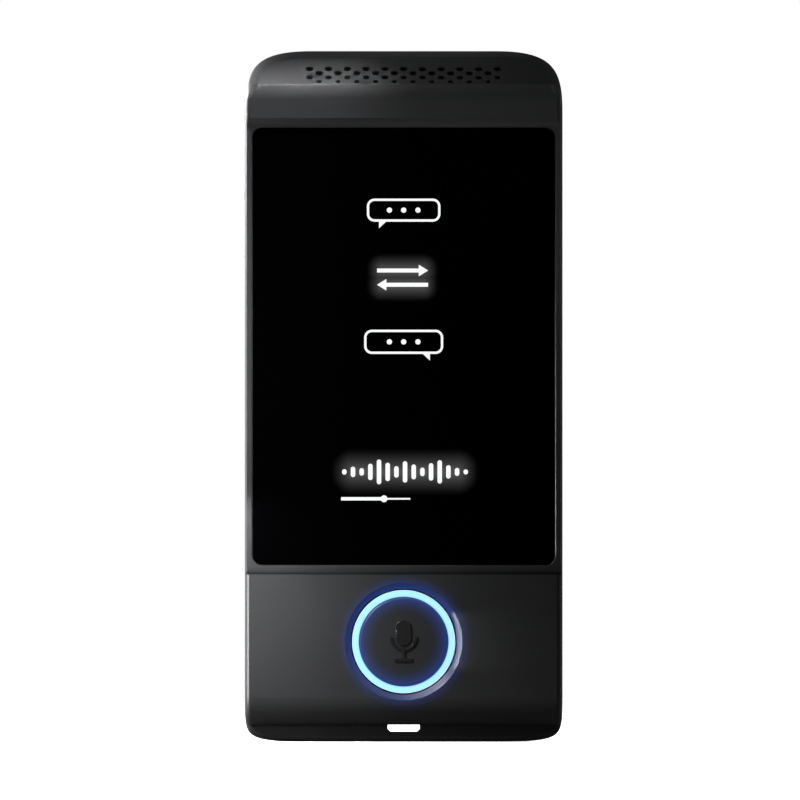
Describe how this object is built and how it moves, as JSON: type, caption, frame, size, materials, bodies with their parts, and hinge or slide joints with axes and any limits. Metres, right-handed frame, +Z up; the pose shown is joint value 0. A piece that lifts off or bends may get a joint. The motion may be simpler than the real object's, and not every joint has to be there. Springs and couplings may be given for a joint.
{
  "type": "handheld translator",
  "caption": "Pocket voice translator: upright slab with a slanted speaker face, recessed touch screen, lit ring round a talk button, and a lanyard slot.",
  "frame": {"origin": "middle of the flat foot on the lower end, centred across the width and the depth", "axes": "+X to the viewer's right, +Y from the screen to the back, +Z up along the long axis towards the speaker"},
  "size_m": [0.058, 0.015, 0.126],
  "materials": {
    "case_plastic": "satin near-black plastic",
    "screen_glass": "glossy black-backed glass",
    "camera_glass": "dark coated glass",
    "flash_plastic": "clear yellowish lens",
    "ring_glow": "lit translucent light guide",
    "rubber": "matt",
    "foam": "matt",
    "steel": "plated",
    "dark_steel": "blackened",
    "magnesium": "cast, matt",
    "board_green": "solder mask",
    "black_plastic": "moulded",
    "copper_flex": "amber film",
    "foil": "foil",
    "adhesive": "tape",
    "white_plastic": "moulded",
    "gold": "plated"
  },
  "bodies": {
    "case": {"front_housing": "case_plastic", "rear_housing": "case_plastic", "cover_glass": "screen_glass", "glass_adhesive": "adhesive", "display_module": "foil", "display_flex": "copper_flex", "chassis_plate": "magnesium", "chassis_screw_1": "steel", "chassis_screw_2": "steel", "chassis_screw_3": "steel", "chassis_screw_4": "steel", "main_board": "board_green", "main_board_screw_1": "steel", "main_board_screw_2": "steel", "main_board_screw_3": "steel", "main_board_screw_4": "steel", "processor_shield": "steel", "radio_shield": "steel", "thermal_pad": "foam", "sub_board": "board_green", "sub_board_screw_1": "steel", "sub_board_screw_2": "steel", "sub_board_flex": "copper_flex", "usb_c_connector": "steel", "vibration_motor": "steel", "battery": "foil", "battery_adhesive": "adhesive", "battery_lead": "copper_flex", "button_switch": "dark_steel", "light_ring": "ring_glow", "led_strip": "white_plastic", "rocker_pin": "steel", "power_switch": "dark_steel", "volume_switch_1": "dark_steel", "volume_switch_2": "dark_steel", "speaker_mesh": "dark_steel", "speaker_gasket": "foam", "speaker_module": "black_plastic", "camera_module": "black_plastic", "camera_window": "camera_glass", "flash_led": "white_plastic", "flash_lens": "flash_plastic", "upper_microphone": "gold", "upper_microphone_boot": "rubber", "lower_microphone": "gold", "lower_microphone_boot": "rubber", "main_antenna": "gold", "foot_antenna": "gold", "case_screw_1": "dark_steel", "case_screw_2": "dark_steel", "case_screw_3": "dark_steel", "case_screw_4": "dark_steel", "screw_plug_1": "rubber", "screw_plug_2": "rubber", "screw_plug_3": "rubber", "screw_plug_4": "rubber"},
    "talk_button": {"action_button": "case_plastic", "switch_stem": "white_plastic"},
    "power_button": {"power_key": "case_plastic"},
    "rocker": {"volume_rocker": "case_plastic"}
  },
  "joints": [
    {"name": "talk_press", "type": "slide", "parent": "case", "child": "talk_button", "axis": [0, 1, 0], "range_m": [0, 0.0006], "stiffness_N_per_m": 300},
    {"name": "power_press", "type": "slide", "parent": "case", "child": "power_button", "axis": [-1, 0, 0], "range_m": [0, 0.00035], "stiffness_N_per_m": 150},
    {"name": "volume_rock", "type": "hinge", "parent": "case", "child": "rocker", "pos_m": [-0.0262, 0.0006, 0.094], "axis": [0, 1, 0], "range_deg": [-1.6, 1.6], "stiffness_Nm_per_rad": 0.01}
  ]
}
